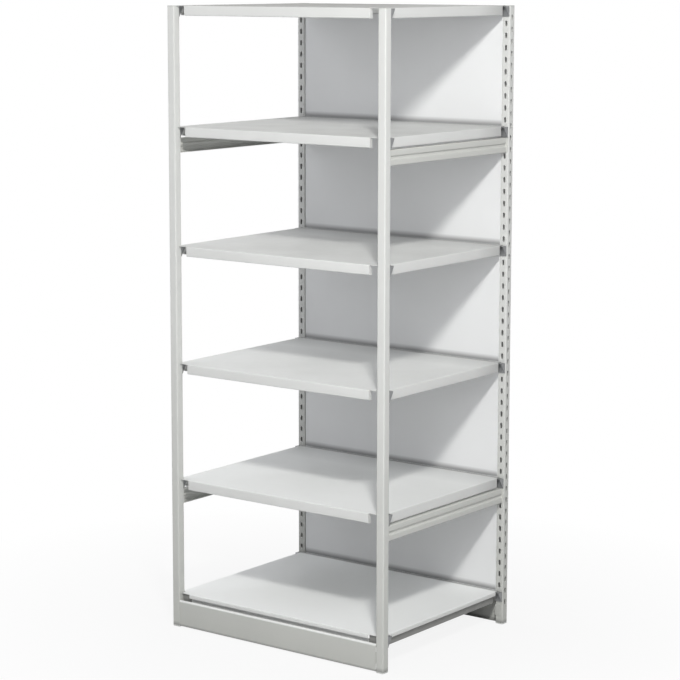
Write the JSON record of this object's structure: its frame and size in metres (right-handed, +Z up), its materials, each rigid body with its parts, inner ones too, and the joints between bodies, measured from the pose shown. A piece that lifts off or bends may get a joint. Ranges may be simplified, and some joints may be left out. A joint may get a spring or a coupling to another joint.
{
  "type": "library shelving bay",
  "caption": "Free-standing steel shelving bay: slotted posts, lift-off pan shelves on hook-in clips, grooved side ties, plinths and a full-height back panel; holds books.",
  "frame": {"origin": "on the floor under the middle of the bay", "axes": "+Z up, -Y to the front where books go in, +X to the right seen from the front"},
  "size_m": [0.76, 0.62, 1.8],
  "materials": {
    "frame_paint": "satin powder coat",
    "shelf_paint": "satin powder coat",
    "panel_paint": "satin powder coat",
    "clip_steel": "dark passivated",
    "plug_plastic": "fine matt",
    "screw_steel": "zinc plated"
  },
  "bodies": {
    "frame": {"post_front_left": "frame_paint", "foot_front_left": "plug_plastic", "cap_front_left": "plug_plastic", "post_front_right": "frame_paint", "foot_front_right": "plug_plastic", "cap_front_right": "plug_plastic", "post_rear_left": "frame_paint", "foot_rear_left": "plug_plastic", "cap_rear_left": "plug_plastic", "post_rear_right": "frame_paint", "foot_rear_right": "plug_plastic", "cap_rear_right": "plug_plastic", "clip_1_front_left": "clip_steel", "clip_1_front_right": "clip_steel", "clip_1_rear_left": "clip_steel", "clip_1_rear_right": "clip_steel", "clip_2_front_left": "clip_steel", "clip_2_front_right": "clip_steel", "clip_2_rear_left": "clip_steel", "clip_2_rear_right": "clip_steel", "clip_3_front_left": "clip_steel", "clip_3_front_right": "clip_steel", "clip_3_rear_left": "clip_steel", "clip_3_rear_right": "clip_steel", "clip_4_front_left": "clip_steel", "clip_4_front_right": "clip_steel", "clip_4_rear_left": "clip_steel", "clip_4_rear_right": "clip_steel", "clip_5_front_left": "clip_steel", "clip_5_front_right": "clip_steel", "clip_5_rear_left": "clip_steel", "clip_5_rear_right": "clip_steel", "clip_6_front_left": "clip_steel", "clip_6_front_right": "clip_steel", "clip_6_rear_left": "clip_steel", "clip_6_rear_right": "clip_steel", "tie_2_left": "frame_paint", "tie_2_right": "frame_paint", "tie_5_left": "frame_paint", "tie_5_right": "frame_paint", "plinth_front": "frame_paint", "plinth_rear": "frame_paint", "back_panel": "panel_paint", "panel_screw_left_1": "screw_steel", "panel_screw_right_1": "screw_steel", "panel_screw_left_2": "screw_steel", "panel_screw_right_2": "screw_steel", "panel_screw_left_3": "screw_steel", "panel_screw_right_3": "screw_steel", "panel_screw_left_4": "screw_steel", "panel_screw_right_4": "screw_steel"},
    "shelf_1": {"shelf_1": "shelf_paint"},
    "shelf_2": {"shelf_2": "shelf_paint"},
    "shelf_3": {"shelf_3": "shelf_paint"},
    "shelf_4": {"shelf_4": "shelf_paint"},
    "shelf_5": {"shelf_5": "shelf_paint"},
    "shelf_6": {"shelf_6": "shelf_paint"}
  },
  "joints": [
    {"name": "shelf_1_lift", "type": "slide", "parent": "frame", "child": "shelf_1", "axis": [0, 0, 1], "range_m": [0, 0.26]},
    {"name": "shelf_2_lift", "type": "slide", "parent": "frame", "child": "shelf_2", "axis": [0, 0, 1], "range_m": [0, 0.3]},
    {"name": "shelf_3_lift", "type": "slide", "parent": "frame", "child": "shelf_3", "axis": [0, 0, 1], "range_m": [0, 0.3]},
    {"name": "shelf_4_lift", "type": "slide", "parent": "frame", "child": "shelf_4", "axis": [0, 0, 1], "range_m": [0, 0.26]},
    {"name": "shelf_5_lift", "type": "slide", "parent": "frame", "child": "shelf_5", "axis": [0, 0, 1], "range_m": [0, 0.3]},
    {"name": "shelf_6_lift", "type": "slide", "parent": "frame", "child": "shelf_6", "axis": [0, 0, 1], "range_m": [0, 0.3]}
  ]
}
